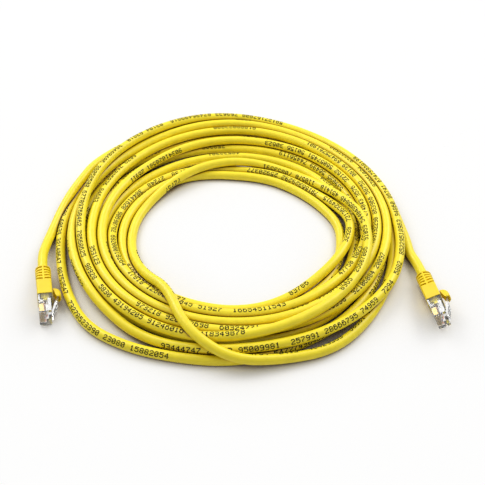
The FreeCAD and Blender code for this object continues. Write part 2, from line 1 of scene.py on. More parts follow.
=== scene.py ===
"""Coiled yellow ethernet patch cable with two clear plugs, moulded boots and hooded latches."""

import json
import math
import random

import bpy
from bpy.props import FloatProperty, FloatVectorProperty, IntProperty, PointerProperty
from bpy.types import Operator, Panel, PropertyGroup
from mathutils import Matrix, Vector
from mathutils.kdtree import KDTree


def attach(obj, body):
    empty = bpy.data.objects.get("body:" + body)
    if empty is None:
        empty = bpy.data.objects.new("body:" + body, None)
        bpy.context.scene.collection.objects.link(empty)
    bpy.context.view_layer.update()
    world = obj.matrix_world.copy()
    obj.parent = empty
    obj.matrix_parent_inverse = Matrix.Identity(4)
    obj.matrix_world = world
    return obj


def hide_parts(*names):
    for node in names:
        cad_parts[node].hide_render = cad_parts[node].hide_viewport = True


bl_info = {
    "name": "Ethernet patch cable",
    "version": (1, 0, 0),
    "blender": (4, 5, 0),
    "location": "View3D > Sidebar > Patch Cable",
    "description": "Builds a coiled patch cable with clear plugs, ribbed boots and printed length marks",
    "category": "Add Mesh",
}

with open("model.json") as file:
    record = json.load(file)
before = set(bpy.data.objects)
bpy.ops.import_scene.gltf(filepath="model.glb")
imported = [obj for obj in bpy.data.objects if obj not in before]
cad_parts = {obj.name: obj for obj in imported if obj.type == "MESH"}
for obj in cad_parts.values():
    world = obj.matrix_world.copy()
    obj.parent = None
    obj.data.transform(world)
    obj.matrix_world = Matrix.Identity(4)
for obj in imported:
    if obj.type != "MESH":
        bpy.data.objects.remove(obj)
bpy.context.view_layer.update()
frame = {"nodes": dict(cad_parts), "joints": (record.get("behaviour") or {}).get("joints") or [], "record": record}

MM = 0.001
SIDES = ("left", "right")

# The table's origin in the frame: the camera aims there, and the coil is laid out about it
TABLE = Vector((2.12, 48.13, 0)) * MM
COIL_MIDDLE = Vector((-6.0, 13.0, 0)) * MM

# Radii of the cable's middle line in mm at every eighth of each turn, from the right lead on
STATIONS = 8
TURN_RADII = (
    (101.6, 101.2, 103.6, 103.2, 103.9, 111.4, 102.2, 96.0),
    (90.4, 90.0, 91.0, 94.0, 98.2, 91.6, 90.6, 89.2),
    (84.8, 84.4, 85.6, 88.4, 92.0, 86.2, 85.2, 83.4),
    (79.2, 76.8, 75.0, 79.5, 85.4, 80.8, 79.7, 77.8),
    (73.6, 69.0, 66.2, 69.5, 78.6, 75.4, 74.3, 72.2),
    (64.4, 49.6, 46.2, 56.4, 66.2, 70.0, 68.8, 67.6),
    (71.6, 55.6, 52.0, 62.2, 72.2, 75.2, 75.6, 77.5),
    (81.6, 80.4, 78.5, 75.5, 78.4, 80.7, 81.2, 84.0),
    (87.8, 87.2, 89.2, 86.6, 85.0, 86.3, 86.8, 91.0),
    (93.4, 92.8, 95.2, 94.0, 96.4, 97.5, 97.3, 101.6),
    (99.6, 98.4, 100.8, 97.5, 91.5, 92.0, 92.4, 88.0),
    (77.2, 62.2, 55.0, 52.3, 59.8, 67.8, 105.0, 105.0),
    (96.0, 95.6, 98.2, 102.0, 104.5),
)
# More radii, as (turn, degrees, radius), where one strand crosses others
CROSSING_RADII = ((0, 202, 104.9), (0, 210, 107.2), (0, 240, 107.6), (0, 255, 103.4), (0, 285, 99.4),
                  (0, 300, 97.6), (1, 204, 96.2), (4, 345, 66.9), (5, 15, 57.8), (5, 30, 52.8),
                  (6, 15, 63.8), (6, 30, 58.5), (9, 240, 98.9), (9, 255, 98.2), (9, 332, 103.4),
                  (10, 338, 84.0), (11, 15, 69.9), (11, 30, 64.9), (11, 210, 65.0), (11, 240, 69.6),
                  (11, 255, 92.0), (11, 262, 100.4), (11, 285, 105.0), (11, 300, 108.6), (11, 330, 101.0))
# Heights in mm over which one turn rises from the hole, crosses the coil and comes down, by degrees
CROSSING_TURN = 11
CROSSING_HEIGHTS = ((195, 2.75), (202, 3.6), (208, 5.2), (220, 8.2), (232, 11.4), (242, 13.5), (250, 13.9),
                    (257, 13.6), (263, 11.6), (270, 8.2), (277, 6.0), (284, 3.9), (291, 3.0), (298, 2.8),
                    (305, 2.75))
# From the tuck on the cable lies under the other turns, and it ends at the left lead
TUCK_TURN = CROSSING_TURN + 298 / 360
LAST_TURN = 12 + 150 / 360

# Steps in a turn for the heights, and control points in a turn for the spline
FINE = 96
COARSE = 24
# Heights come from a slightly thinner tube, because soft jackets side by side give way a little
PRESSED = 0.97
# Rounds of stacking, and how many steps to either side a height is kept up and evened out
STACK_ROUNDS = 8
PEAK_REACH = 2
BLUR_REACH = 3
# A spline of this order runs inside its control points, at this share of a turn's radius
SPLINE_ORDER = 3
SPLINE_PULL = 0.9915
SPLINE_RESOLUTION = 8

# Points of the two leads in mm on the table, as in the solid model, between coil and boots
RIGHT_LEAD = ((98.6, -12.0, 2.95), (98.5, -1.5, 2.75))
LEFT_LEAD = ((-103.4, 50.6, 7.6), (-108.6, 38.0, 6.35), (-112.9, 23.5, 4.05), (-115.4, 8.5, 2.9),
             (-116.8, -6.0, 3.95))
LEAD_STRAIGHT = 10 * MM

# Steps of round forms
DISC_STEPS = 48
CORNER_STEPS = 6
EDGE_STEPS = 5
FLARE_STEPS = 8
FRONT_STEPS = 3
CROWN_STEPS = 8
SLOT_STEPS = 8
# A block that cuts reaches this far in mm past the face it cuts through
CUT_PAST = 1.0

# Places on the plug in mm, from the middle of the boot's back: the nose, its drop, and where the cable ends
PLUG_TIP = 36.5
NOSE_DROP = 0.5
CABLE_SEAM = 1.2

# Boot in mm: a round neck, a flare and a block, whose half sizes are towards the latch and across the plug
BOOT_LENGTH = 24.0
NECK_HALF = 4.4
NECK_CORNER = 4.2
NECK_FLAT = 0.2
FLARE_START = 1.3
BLOCK_START = 14.4
BLOCK_HALF = (4.12, 6.2)
BLOCK_CORNER = 1.0
BACK_ROUND = 1.3
FRONT_ROUND = 0.35
SEAT_START = 15.0
SEAT_HALF = (3.82, 5.86)
SEAT_CORNER = 0.4
BORE = 2.8
BOOT_VOXEL = 0.15
BOOT_SMOOTHING = 2

# Slots that part the boot's ribs in mm, with a spine left between them, and how fast the shade painted into them
# deepens
RIBS = 5
RIB_START = 1.6
RIB_PITCH = 2.6
RIB_SLOT = 1.1
SPINE_HALF = 0.5
SLOT_OVERLAP = 0.2
SLOT_REACH = 7.5
PAINTED_SLOT_SHADE = 1.9

# End of the jacket inside boot and plug in mm: hollow in front, with shade painted where the boot's neck covers it
JACKET_RADIUS = 2.75
JACKET_BORE = 2.15
JACKET_HOLLOW = 10
JACKET_END = 26.4
JACKET_BLEND = 0.5
PAINTED_JACKET_SHADE = 0.64
JACKET_EDGE = math.radians(40)

# Hood over the latch's tip in mm, from its root on the boot
HOOD_ROOT = (17.6, 4.8)
HOOD_SINK = 0.4
HOOD_BACK = 1.1
HOOD_CROWN = 3.3
HOOD_TOP = 3.8
HOOD_FRONT = 6.3
HOOD_LOW = 1.1
HOOD_HALF = 2.9
HOOD_ROUND = 1.9
HOOD_WALL = 0.6
HOOD_CHAMFER = 0.6
HOOD_LIP = 0.5
HOOD_DEPTH = 4
HOOD_VOXEL = 0.12
HOOD_SMOOTHING = 3

# Pieces of each boot: the solid it stands for, its own name and its slot
BOOT_PIECES = (
    ("strain_relief_boot", "boot", "yellow_boot"),
    ("latch_guard", "hood", "yellow_boot"),
    ("jacket_end", "inner_jacket", "yellow_jacket"),
)

# Painted shade: the jacket's colour darkens towards the line where it touches another strand or the table
PAINTED_SHADE_REACH = 1.5 * MM
PAINTED_SHADE_SEARCH = 2 * MM
PAINTED_CREVICE_SHADE = ((0.0, (1, 1, 1)), (0.4, (0.86, 0.77, 0.62)), (0.66, (0.38, 0.26, 0.15)),
                 (0.82, (0.012, 0.008, 0.006)))
# Radii along the cable that still count as the same strand
OWN_STRETCH = 8

# Plain digits of a dot matrix printer, in rows of five dots
DIGITS = (
    "01110 10001 10011 10101 11001 10001 01110",
    "00100 01100 00100 00100 00100 00100 01110",
    "01110 10001 00001 00110 01000 10000 11111",
    "11110 00001 00001 01110 00001 00001 11110",
    "00010 00110 01010 10010 11111 00010 00010",
    "11111 10000 11110 00001 00001 10001 01110",
    "01110 10000 11110 10001 10001 10001 01110",
    "11111 00001 00010 00100 01000 01000 01000",
    "01110 10001 10001 01110 10001 10001 01110",
    "01110 10001 10001 01111 00001 00001 01110",
)
MIDDLE_ROW = 3
DOT = 0.42 * MM
INK_SPREAD = 0.06 * MM
LETTER_STEP = 2.7 * MM
INK_LIFT = 0.03 * MM
# Digits in a group, digits left out after it, and how near to the left boot a group may still start
MARK_SEED = 12
GROUP_SIZES = (4, 5, 5, 6, 8, 11)
GROUP_GAPS = (1, 1, 1, 2, 2, 14, 22)
LAST_GROUP = 80 * MM
# Both ends of the cable stay plain
PLAIN_ENDS = 60 * MM
# The marks roll round the jacket in waves of (angle, metres of cable for each radian, start)
ROLLS = ((0.9, 0.37, 0.0), (0.5, 0.113, 2.0))

# Soft PVC: the grain's share in the scale of its clouds and of its gloss, and how far the gloss swings
CLOUD_SHARE = 0.08
GLOSS_SHARE = 0.3
GLOSS_SWING = 0.07
# Grain of metal along each axis: it is finest in height, so its drawing lines lie flat
DRAWN_GRAIN = (900, 900, 7000)

# Insulation in the plugs' order: the first of each two is white with a stripe
WIRE_ORDER = ("orange", "orange", "green", "blue", "blue", "green", "brown", "brown")
WIRE_COLOURS = {"orange": (0.80, 0.20, 0.02), "green": (0.02, 0.22, 0.06), "blue": (0.02, 0.08, 0.42),
                "brown": (0.16, 0.06, 0.02)}
WIRE_WHITE = (0.82, 0.80, 0.74)
GOLD = (0.86, 0.59, 0.20)
COPPER = (0.80, 0.42, 0.24)
PLATED = 0.75
WORN_INK = (0.10, 0.08, 0.01)
CLEAR_PARTS = ("plug_housing", "locking_tab", "jacket_clamp", "wire_clamp")

# Table: its paper, the shade painted close to the cable, and how far the cable's shadow reaches
TABLE_SIZE = 8
TABLE_TINTS = ((0.2, (0.79, 0.78, 0.75)), (0.8, (0.83, 0.82, 0.79)))
PAINTED_TOUCH_SHADE = ((0.10, (0.03, 0.015, 0.005)), (0.25, (0.28, 0.19, 0.09)), (0.42, (1, 0.98, 0.94)))
PAINTED_TOUCH_REACH = 0.01
SHADOW_REACH = 0.035
SHADOW_POWER = 3.0
TABLE_WHITE = 0.95
OCCLUSION_SAMPLES = 8

# Camera and lamps
SENSOR_WIDTH = 36
CLIP_START = 0.01
LAMP_PLACES = ((-0.42, 0.44, 0.60), (0.46, 0.44, 0.60))
LAMP_SIZE = (0.5, 0.4)
# The sky that clear plastic shows through itself is brighter than the one that lights the cable
CLEAR_SKY = 1.3


class CableSettings(PropertyGroup):
    """Sizes and colours of the cable."""

    diameter: FloatProperty(name="Diameter", description="Outer diameter of the jacket", default=5.5 * MM,
                            unit="LENGTH")
    sides: IntProperty(name="Sides", description="Faces round the jacket", default=30, min=8)
    jacket: FloatVectorProperty(name="Jacket", description="Colour of the jacket", subtype="COLOR",
                                default=(0.92, 0.755, 0.02))
    boot: FloatVectorProperty(name="Boot", description="Colour of the boots", subtype="COLOR",
                              default=(0.90, 0.665, 0.003))
    ink: FloatVectorProperty(name="Ink", description="Colour of the printed marks", subtype="COLOR",
                             default=(0.008, 0.008, 0.010))


class StageSettings(PropertyGroup):
    """Camera and lamps."""

    distance: FloatProperty(name="Distance", description="Camera to the aimed point", default=0.452,
                            unit="LENGTH")
    elevation: FloatProperty(name="Elevation", description="Camera's angle above the table",
                             default=math.radians(45), subtype="ANGLE")
    lens: FloatProperty(name="Lens", description="Focal length in millimetres", default=55.5)
    lamp: FloatProperty(name="Lamp", description="Power of each of the two soft lamps", default=4.0,
                        unit="POWER")
    sky: FloatProperty(name="Sky", description="Strength of the light from all round", default=0.43)


# Selecting and making pieces

def select_only(*objects):
    """Selects these objects alone and makes the first one active."""
    bpy.ops.object.select_all(action="DESELECT")
    for item in objects:
        item.select_set(True)
    bpy.context.view_layer.objects.active = objects[0]


def new_mesh(name, vertices, faces):
    """Object made of a mesh from points and faces."""
    mesh = bpy.data.meshes.new(name)
    mesh.from_pydata(vertices, [], faces)
    piece = bpy.data.objects.new(name, mesh)
    bpy.context.scene.collection.objects.link(piece)
    return piece


def face_outwards(block):
    """Turns all faces of a closed block outwards."""
    select_only(block)
    bpy.ops.object.mode_set(mode="EDIT")
    bpy.ops.mesh.select_all(action="SELECT")
    bpy.ops.mesh.normals_make_consistent(inside=False)
    bpy.ops.object.mode_set(mode="OBJECT")


def prism(outline, start, end):
    """Closed block with an outline (in mm) drawn across the plug and pulled along it."""
    bpy.ops.object.select_all(action="DESELECT")
    bpy.ops.mesh.primitive_circle_add(vertices=len(outline), radius=1, fill_type="NGON")
    block = bpy.context.object
    for vertex, (u, v) in zip(block.data.vertices, outline):
        vertex.co = Vector((start, u, v)) * MM
    pull = Vector((end - start, 0, 0)) * MM
    bpy.ops.object.mode_set(mode="EDIT")
    bpy.ops.mesh.select_all(action="SELECT")
    bpy.ops.mesh.extrude_region_move(TRANSFORM_OT_translate={"value": pull})
    bpy.ops.object.mode_set(mode="OBJECT")
    face_outwards(block)
    return block


def rounded_outline(half_u, half_v, radius):
    """Corners of a rectangle with rounded corners about the axis, in mm."""
    points = []
    for corner, (sign_u, sign_v) in enumerate(((1, 1), (-1, 1), (-1, -1), (1, -1))):
        for step in range(CORNER_STEPS + 1):
            angle = math.radians(90 * (corner + step / CORNER_STEPS))
            points.append((sign_u * (half_u - radius) + radius * math.cos(angle),
                           sign_v * (half_v - radius) + radius * math.sin(angle)))
    return points


def disc(radius):
    """Points of a circle about the axis, in mm."""
    angles = [2 * math.pi * step / DISC_STEPS for step in range(DISC_STEPS)]
    return [(radius * math.cos(angle), radius * math.sin(angle)) for angle in angles]


def loft(outlines, axis="X"):
    """Closed block through outlines (place along the axis, points), all with as many points."""
    vertices = []
    faces = []
    count = len(outlines[0][1])
    for place, outline in outlines:
        vertices += [Vector((place, u, v) if axis == "X" else (u, v, place)) * MM for u, v in outline]
    for level in range(len(outlines) - 1):
        for index in range(count):
            after = (index + 1) % count
            base = level * count
            faces.append((base + index, base + count + index, base + count + after, base + after))
    faces.append(tuple(range(count)))
    faces.append(tuple(reversed(range(len(vertices) - count, len(vertices)))))
    block = new_mesh("block", vertices, faces)
    face_outwards(block)
    return block


def join_blocks(blocks):
    """Makes separate blocks one object."""
    select_only(*blocks)
    bpy.ops.object.join()
    return blocks[0]


def cut(target, tool):
    """Cuts a block away from a piece, and removes the block."""
    select_only(target)
    change = target.modifiers.new("change", "BOOLEAN")
    change.object = tool
    change.operation = "DIFFERENCE"
    change.solver = "EXACT"
    bpy.ops.object.modifier_apply(modifier=change.name)
    bpy.data.objects.remove(tool)


def mould(piece, voxel, rounds):
    """Gives a block the even, soft edges of moulded rubber; the voxel is in mm."""
    select_only(piece)
    remesh = piece.modifiers.new("grain", "REMESH")
    remesh.mode = "VOXEL"
    remesh.voxel_size = voxel * MM
    remesh.use_smooth_shade = True
    bpy.ops.object.modifier_apply(modifier=remesh.name)
    smooth = piece.modifiers.new("smooth", "SMOOTH")
    smooth.factor = 0.5
    smooth.iterations = rounds
    bpy.ops.object.modifier_apply(modifier=smooth.name)
    bpy.ops.object.shade_smooth()


def mark_painted_shade(piece, shade_depths):
    """Stores how deep every point lies in a hollow or contact line, from 0 to 1, for the shade that the rubber's
    material paints there.
    """
    layer = piece.data.attributes.new("painted_shade", "FLOAT", "POINT")
    layer.data.foreach_set("value", shade_depths)


def copy_piece(piece, name):
    """Copy with its own mesh."""
    twin = piece.copy()
    twin.data = piece.data.copy()
    twin.name = name
    twin.data.name = name
    bpy.context.scene.collection.objects.link(twin)
    return twin


def plug_matrix(side):
    """The plug's own frame: x out through the nose, y to the latch, z across the contacts."""
    record = frame["record"]
    mounts = {mount["name"]: mount for mount in record["mounts"]}
    joints = {joint["name"]: joint for joint in frame["joints"]}
    nose = mounts[side + "_nose_face"]
    out = Vector(nose["axis"]).normalized()
    across = Vector(joints[side + "_tab_hinge"]["axis"]).normalized()
    latch = across.cross(out).normalized()
    origin = Vector(nose["pos_m"]) - out * PLUG_TIP * MM + latch * NOSE_DROP * MM
    turn = Matrix((out, latch, across)).transposed().to_4x4()
    return Matrix.Translation(origin) @ turn


def place_on_plug(piece, side):
    """Moves a piece drawn in the plug's frame to its plug; its own object stays at the origin."""
    piece.data.transform(plug_matrix(side))
    piece.data.update()


# Boot, hood and jacket end, drawn in the plug's frame

def ease(share):
    """Share from 0 to 1 that starts and ends gently."""
    return share * share * (3 - 2 * share)


def section_half(place):
    """Half sizes of the boot's outside at a place along it, in mm."""
    share = min(max((place - FLARE_START) / (BLOCK_START - FLARE_START), 0), 1)
    return tuple(NECK_HALF + (half - NECK_HALF) * ease(share) for half in BLOCK_HALF)


def boot_outlines():
    """Sections of the boot's outside from its rounded back over the flare to the front."""
    sections = []
    for step in range(EDGE_STEPS + 1):
        angle = math.radians(90 * step / EDGE_STEPS)
        half = NECK_HALF - BACK_ROUND * (1 - math.sin(angle))
        sections.append((BACK_ROUND * (1 - math.cos(angle)), rounded_outline(half, half, half - NECK_FLAT)))
    for step in range(FLARE_STEPS + 1):
        share = step / FLARE_STEPS
        corner = NECK_CORNER + (BLOCK_CORNER - NECK_CORNER) * ease(share)
        place = FLARE_START + (BLOCK_START - FLARE_START) * share
        sections.append((place, rounded_outline(*section_half(place), corner)))
    for step in range(FRONT_STEPS + 1):
        angle = math.radians(90 * step / FRONT_STEPS)
        inset = FRONT_ROUND * (1 - math.cos(angle))
        sections.append((BOOT_LENGTH - FRONT_ROUND * (1 - math.sin(angle)),
                         rounded_outline(BLOCK_HALF[0] - inset, BLOCK_HALF[1] - inset, BLOCK_CORNER)))
    return sections


def rib_slots():
    """Blocks that part the ribs: four round every slot, with a spine left between them."""
    inner = BORE - SLOT_OVERLAP
    start = math.asin(SPINE_HALF / inner)
    angles = [start + (math.pi / 2 - 2 * start) * step / SLOT_STEPS for step in range(SLOT_STEPS + 1)]
    quarter = [(inner * math.cos(angle), inner * math.sin(angle)) for angle in angles]
    quarter += [(SPINE_HALF, SLOT_REACH), (SLOT_REACH, SLOT_REACH), (SLOT_REACH, SPINE_HALF)]
    blocks = []
    for rib in range(RIBS):
        place = RIB_START + RIB_PITCH * rib
        for cos, sin in ((1, 0), (0, 1), (-1, 0), (0, -1)):
            outline = [(u * cos - v * sin, u * sin + v * cos) for u, v in quarter]
            blocks.append(prism(outline, place, place + RIB_SLOT))
    return join_blocks(blocks)


def slot_shade_depth(point):
    """How deep a point of the boot, in mm, lies behind its outside where the slots are, from 0 to 1, which sets
    the shade painted into the slots.
    """
    half_y, half_z = section_half(point.x)
    below = 1 - math.hypot(point.y / half_y, point.z / half_z)
    return min(max(below * PAINTED_SLOT_SHADE, 0), 1) if BACK_ROUND < point.x < SEAT_START else 0.0


def make_boot():
    """Ribbed sleeve with its bore and the seat of the plug."""
    boot = loft(boot_outlines())
    cut(boot, prism(rounded_outline(*SEAT_HALF, SEAT_CORNER), SEAT_START, BOOT_LENGTH + CUT_PAST))
    cut(boot, prism(disc(BORE), -CUT_PAST, SEAT_START + CUT_PAST))
    cut(boot, rib_slots())
    mould(boot, BOOT_VOXEL, BOOT_SMOOTHING)
    # Painted shade: darker colour towards the floors of the rib slots
    mark_painted_shade(boot, [slot_shade_depth(vertex.co / MM) for vertex in boot.data.vertices])
    return boot


def hood_shell(inset, inner):
    """Side outline of the hood: its back, the round crown, the mouth and the low edge."""
    root_x, root_y = HOOD_ROOT
    centre = root_x + HOOD_CROWN
    front = root_x + HOOD_FRONT
    reach = HOOD_TOP - inset - (HOOD_WALL if inner else 0)
    start = math.acos(min(1, (HOOD_CROWN - HOOD_BACK) / reach)) if inner else 0
    angles = [start + (math.pi / 2 - start) * step / CROWN_STEPS for step in range(CROWN_STEPS + 1)]
    arc = [(centre - reach * math.cos(angle), root_y + reach * math.sin(angle)) for angle in angles]
    if inner:
        return [(arc[0][0], root_y - HOOD_DEPTH), *arc, (front + CUT_PAST, root_y + reach),
                (front + CUT_PAST, root_y - HOOD_DEPTH)]
    return [(arc[0][0], root_y - HOOD_SINK), *arc, (front - HOOD_CHAMFER, root_y + reach),
            (front, root_y + reach - HOOD_CHAMFER), (front, root_y + HOOD_LOW),
            (root_x + HOOD_LIP, root_y - HOOD_SINK)]


def hood_levels(half, rounding, inner):
    """Outlines across the hood's width, drawn in at both sides for its round shoulders."""
    rising = []
    for step in range(EDGE_STEPS + 1):
        angle = math.radians(90 * step / EDGE_STEPS)
        shell = hood_shell(rounding * (1 - math.sin(angle)), inner)
        rising.append((half - rounding * (1 - math.cos(angle)), shell))
    return [(-across, shell) for across, shell in rising] + rising[::-1]


def make_hood():
    """Hollow hood, open to the front and below, that covers the latch's tip."""
    hood = loft(hood_levels(HOOD_HALF, HOOD_ROUND, False), "Z")
    cut(hood, loft(hood_levels(HOOD_HALF - HOOD_WALL, HOOD_ROUND - HOOD_WALL, True), "Z"))
    mould(hood, HOOD_VOXEL, HOOD_SMOOTHING)
    return hood


def make_jacket_end():
    """Trimmed end of the jacket inside boot and plug, with the conductors' hole."""
    places = (CABLE_SEAM, SEAT_START - JACKET_BLEND, SEAT_START, JACKET_END)
    piece = loft([(place, disc(JACKET_RADIUS)) for place in places])
    cut(piece, prism(disc(JACKET_BORE), JACKET_HOLLOW, JACKET_END + CUT_PAST))
    # Painted shade on the stretch of jacket that the boot's neck covers
    painted_shade_until = (SEAT_START - JACKET_BLEND / 2) * MM
    mark_painted_shade(piece, [PAINTED_JACKET_SHADE if vertex.co.x < painted_shade_until else 0.0 for vertex in piece.data.vertices])
    select_only(piece)
    bpy.ops.object.shade_smooth_by_angle(angle=JACKET_EDGE)
    return piece


# Materials

class Nodes:
    """Nodes of a material or of the world, with short calls to add and join them."""

    def __init__(self, tree):
        self.tree = tree

    def node(self, kind, **values):
        """New node; each value goes to its setting or input of that name."""
        made = self.tree.nodes.new(kind)
        for key, setting in values.items():
            if hasattr(made, key):
                setattr(made, key, setting)
            else:
                made.inputs[key.replace("_", " ")].default_value = setting
        return made

    def join(self, source, target):
        """Joins an output to an input."""
        self.tree.links.new(source, target)

    def coordinates(self, kind):
        """Texture coordinates of this kind."""
        return self.node("ShaderNodeTexCoord").outputs[kind]

    def noise(self, coordinates, scale, detail=3.0):
        """Even noise from 0 to 1."""
        made = self.node("ShaderNodeTexNoise", Scale=scale, Detail=detail, Roughness=0.55)
        self.join(coordinates, made.inputs["Vector"])
        return made.outputs["Fac"]

    def ramp(self, source, stops):
        """Colour through (place, colour) stops."""
        made = self.node("ShaderNodeValToRGB")
        elements = made.color_ramp.elements
        while len(elements) < len(stops):
            elements.new(0.5)
        for element, (place, colour) in zip(elements, stops):
            element.position = place
            element.color = (*colour, 1.0)
        self.join(source, made.inputs["Fac"])
        return made.outputs["Color"]

    def multiply(self, colour, cover):
        """Colour darkened by another."""
        mix = self.node("ShaderNodeMix", data_type="RGBA", blend_type="MULTIPLY")
        mix.inputs["Factor"].default_value = 1.0
        self.join(colour, mix.inputs["A"])
        self.join(cover, mix.inputs["B"])
        return mix.outputs["Result"]

    def calculate(self, operation, first, second):
        """Joins two values; the second is an output or a number."""
        made = self.node("ShaderNodeMath", operation=operation)
        self.join(first, made.inputs[0])
        if isinstance(second, float):
            made.inputs[1].default_value = second
        else:
            self.join(second, made.inputs[1])
        return made.outputs[0]

    def spread(self, source, low, high):
        """Turns a value from 0 to 1 into one from low to high."""
        made = self.node("ShaderNodeMapRange", To_Min=low, To_Max=high)
        self.join(source, made.inputs["Value"])
        return made.outputs["Result"]

    def bump(self, height, strength, distance):
        """Normal raised by a height."""
        made = self.node("ShaderNodeBump", Strength=strength, Distance=distance)
        self.join(height, made.inputs["Height"])
        return made.outputs["Normal"]

    def occlusion(self, distance):
        """How open a place lies, from 0 to 1, to what is within a distance."""
        made = self.node("ShaderNodeAmbientOcclusion", Distance=distance, samples=OCCLUSION_SAMPLES)
        return made.outputs["AO"]


class Surface(Nodes):
    """A material with its shader."""

    def __init__(self, name):
        self.material = bpy.data.materials.new(name)
        self.material.use_nodes = True
        super().__init__(self.material.node_tree)
        self.shader = self.tree.nodes["Principled BSDF"]

    def set(self, **values):
        """Gives inputs of the shader a node's output or a plain value."""
        for key, setting in values.items():
            target = self.shader.inputs[key.replace("_", " ")]
            if isinstance(setting, bpy.types.NodeSocket):
                self.join(setting, target)
            else:
                target.default_value = setting


def shade(colour, factor):
    """Colour made darker or lighter."""
    return tuple(min(1.0, channel * factor) for channel in colour)


def rubber(name, colour, coordinates, grain, roughness):
    """Soft PVC: clouded colour, painted shade in crevices, fine orange peel and a gentle, uneven gloss."""
    surface = Surface(name)
    place = surface.coordinates(coordinates)
    cloud = surface.noise(place, scale=grain * CLOUD_SHARE, detail=2.0)
    tint = surface.ramp(cloud, ((0.3, shade(colour, 0.93)), (0.7, shade(colour, 1.04))))
    # Painted shade: the stored depths darken the colour in crevices, slots and contact lines
    painted_shade_depth = surface.node("ShaderNodeAttribute", attribute_name="painted_shade")
    cover = surface.ramp(painted_shade_depth.outputs["Fac"], PAINTED_CREVICE_SHADE)
    gloss = surface.noise(place, scale=grain * GLOSS_SHARE)
    peel = surface.noise(place, scale=grain)
    surface.set(Base_Color=surface.multiply(tint, cover),
                Roughness=surface.spread(gloss, low=roughness - GLOSS_SWING, high=roughness + GLOSS_SWING),
                Normal=surface.bump(peel, strength=0.25, distance=0.06 * MM),
                IOR=1.5, Specular_IOR_Level=0.45)
    return surface.material


def ink_material(colour):
    """Matt printing ink with worn, uneven cover."""
    surface = Surface("printing_ink")
    wear = surface.noise(surface.coordinates("Object"), scale=2500, detail=4.0)
    surface.set(Base_Color=surface.ramp(wear, ((0.55, colour), (0.8, WORN_INK))),
                Roughness=0.8, Specular_IOR_Level=0.1)
    return surface.material


def clear_plastic():
    """Clear moulded plastic with faint flow marks."""
    surface = Surface("clear_plastic")
    place = surface.coordinates("Object")
    flow = surface.noise(place, scale=260)
    waves = surface.noise(place, scale=420, detail=2.0)
    surface.set(Base_Color=surface.ramp(flow, ((0.2, (0.98, 0.98, 0.96)), (0.8, (1.0, 1.0, 0.99)))),
                Roughness=surface.spread(flow, low=0.03, high=0.09),
                Normal=surface.bump(waves, strength=0.15, distance=0.12 * MM),
                IOR=1.38, Transmission_Weight=0.93)
    return surface.material


def metal(name, colour, roughness):
    """Plated or bare metal with drawing lines and dull patches."""
    surface = Surface(name)
    place = surface.coordinates("Object")
    stretch = surface.node("ShaderNodeMapping", Scale=DRAWN_GRAIN)
    surface.join(place, stretch.inputs["Vector"])
    lines = surface.noise(stretch.outputs["Vector"], scale=1.0)
    patches = surface.noise(place, scale=900, detail=2.0)
    surface.set(Base_Color=surface.ramp(patches, ((0.3, shade(colour, 0.8)), (0.7, shade(colour, 1.05)))),
                Roughness=surface.spread(lines, low=roughness - 0.08, high=roughness + 0.12),
                Normal=surface.bump(lines, strength=0.2, distance=0.03 * MM),
                Metallic=PLATED)
    return surface.material


def insulation(name, colour, stripe=None):
    """Glossy insulation of one conductor, with the bands of its stripe where it has one."""
    surface = Surface(name)
    place = surface.coordinates("Object")
    cloud = surface.noise(place, scale=700, detail=2.0)
    tint = surface.ramp(cloud, ((0.3, shade(colour, 0.9)), (0.7, colour)))
    if stripe:
        bands = surface.node("ShaderNodeTexWave", Scale=190.0, Distortion=1.2)
        surface.join(place, bands.inputs["Vector"])
        cover = surface.ramp(bands.outputs["Fac"], ((0.60, (0, 0, 0)), (0.68, (1, 1, 1))))
        mix = surface.node("ShaderNodeMix", data_type="RGBA")
        surface.join(cover, mix.inputs["Factor"])
        surface.join(tint, mix.inputs["A"])
        mix.inputs["B"].default_value = (*stripe, 1.0)
        tint = mix.outputs["Result"]
    surface.set(Base_Color=tint, Roughness=surface.spread(cloud, low=0.3, high=0.45))
    return surface.material


def wire_materials():
    """Insulation of the eight conductors, in order."""
    made = []
    for number, name in enumerate(WIRE_ORDER, start=1):
        label = "wire_%d_%s" % (number, name)
        if number % 2:
            made.append(insulation(label, WIRE_WHITE, WIRE_COLOURS[name]))
        else:
            made.append(insulation(label, WIRE_COLOURS[name]))
    return made


def floor_material():
    """White table that shows soft shadows and painted shade close to the cable, and shows white to the camera and
    in glass and metal.
    """
    surface = Surface("table_paper")
    grain = surface.noise(surface.coordinates("Object"), scale=900, detail=4.0)
    paper = surface.ramp(grain, TABLE_TINTS)
    # Painted shade: the paper's colour darkens close to the cable
    touch = surface.ramp(surface.occlusion(PAINTED_TOUCH_REACH), PAINTED_TOUCH_SHADE)
    surface.set(Base_Color=surface.multiply(paper, touch), Roughness=0.9, Specular_IOR_Level=0.1)
    path = surface.node("ShaderNodeLightPath").outputs
    cleared = surface.calculate("POWER", surface.occlusion(SHADOW_REACH), SHADOW_POWER)
    seen = surface.calculate("MAXIMUM", path["Is Camera Ray"], path["Is Glossy Ray"])
    outside = surface.calculate("MULTIPLY", surface.calculate("MULTIPLY", seen, cleared), TABLE_WHITE)
    through = surface.calculate("MULTIPLY", path["Is Transmission Ray"], TABLE_WHITE)
    glow = surface.node("ShaderNodeEmission", Color=(1, 1, 1, 1), Strength=1.0)
    mix = surface.node("ShaderNodeMixShader")
    surface.join(surface.calculate("MAXIMUM", outside, through), mix.inputs["Fac"])
    surface.join(surface.shader.outputs["BSDF"], mix.inputs[1])
    surface.join(glow.outputs["Emission"], mix.inputs[2])
    surface.join(mix.outputs["Shader"], surface.tree.nodes["Material Output"].inputs["Surface"])
    return surface.material


def dress(piece, material):
    """Puts one material on a piece."""
    if piece.material_slots:
        for place in piece.material_slots:
            place.link = "OBJECT"
            place.material = material
    else:
        piece.data.materials.append(material)


# The cable's route

